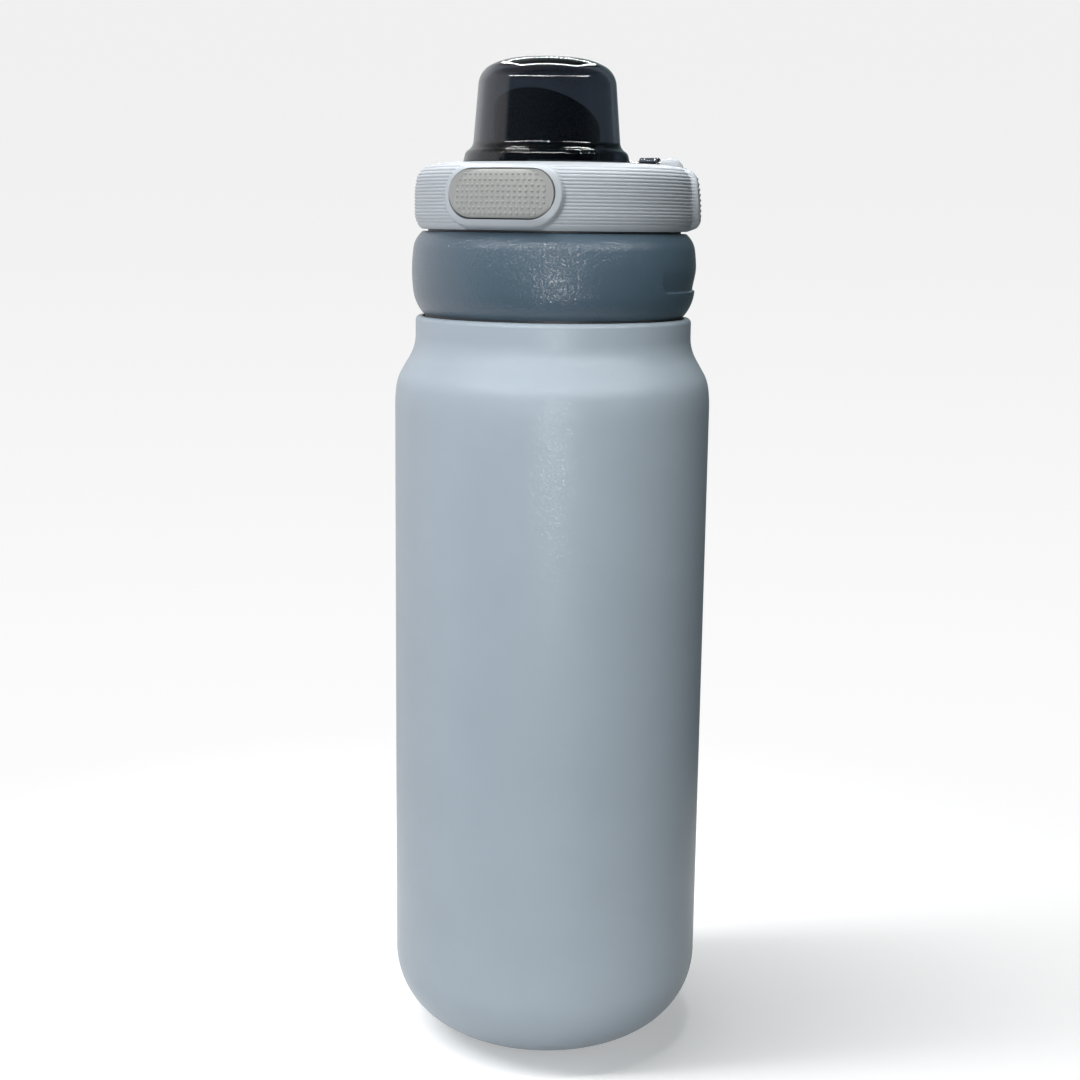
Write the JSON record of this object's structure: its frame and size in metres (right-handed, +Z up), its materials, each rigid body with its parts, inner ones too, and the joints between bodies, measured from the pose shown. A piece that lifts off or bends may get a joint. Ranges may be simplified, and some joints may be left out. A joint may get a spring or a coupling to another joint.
{
  "type": "insulated water bottle",
  "caption": "Double-wall steel water bottle with a screw collar, a ribbed upper lid, a push-button latch and a smoked flip-up dome over a slanted spout.",
  "frame": {"origin": "centre of the foot, on the surface that the bottle stands on", "axes": "+Z up along the bottle's axis; the lid's front, with the push button, faces -Y turned 22 degrees towards -X"},
  "size_m": [0.073, 0.073, 0.2287],
  "materials": {
    "painted_body": "powder coat, fine texture",
    "bare_steel": "satin",
    "collar_coat": "fine texture",
    "insert_plastic": "moulded",
    "seal_dark": "silicone",
    "seal_light": "silicone",
    "ring_plastic": "fine texture",
    "core_plastic": "moulded",
    "spout_plastic": "polished",
    "smoked_dome": "clear smoked",
    "pad_rubber": "soft touch, dotted",
    "latch_plastic": "moulded",
    "spring_steel": "drawn wire"
  },
  "bodies": {
    "flask": {"outer_shell": "painted_body", "base_cup": "bare_steel", "inner_flask": "bare_steel", "getter_disc": "bare_steel"},
    "neck_seal": {"neck_gasket": "seal_dark"},
    "collar": {"collar_shell": "collar_coat", "collar_insert": "insert_plastic"},
    "mouth_seal": {"mouth_gasket": "seal_light"},
    "upper_lid": {"upper_ring": "ring_plastic", "lid_core": "core_plastic", "spout": "spout_plastic", "spout_oring": "seal_dark", "dome_gasket": "seal_dark", "hinge_pin": "spring_steel", "dome_spring": "spring_steel", "button_springs": "spring_steel", "side_grip_right": "pad_rubber", "side_grip_left": "pad_rubber"},
    "dome": {"dome_cap": "smoked_dome"},
    "button": {"front_button": "pad_rubber", "latch_slide": "latch_plastic"}
  },
  "joints": [
    {"name": "collar_lift", "type": "slide", "parent": "flask", "child": "neck_seal", "axis": [0, 0, 1], "range_m": [0, 0.06]},
    {"name": "collar_turn", "type": "hinge", "parent": "neck_seal", "child": "collar", "pos_m": [0, 0, 0.16], "axis": [0, 0, 1], "range_deg": [0, 450]},
    {"name": "upper_lift", "type": "slide", "parent": "collar", "child": "mouth_seal", "axis": [0, 0, 1], "range_m": [0, 0.03]},
    {"name": "upper_turn", "type": "hinge", "parent": "mouth_seal", "child": "upper_lid", "pos_m": [0, 0, 0.195], "axis": [0, 0, 1], "range_deg": [0, 300]},
    {"name": "dome_hinge", "type": "hinge", "parent": "upper_lid", "child": "dome", "pos_m": [0.00749, 0.01854, 0.206], "axis": [-0.9272, 0.3746, 0], "range_deg": [0, 120]},
    {"name": "button_press", "type": "slide", "parent": "upper_lid", "child": "button", "axis": [0.3746, 0.9272, 0], "range_m": [0, 0.0015], "stiffness_N_per_m": 600, "springref_m": -0.002, "deforming": ["button_springs"]}
  ]
}
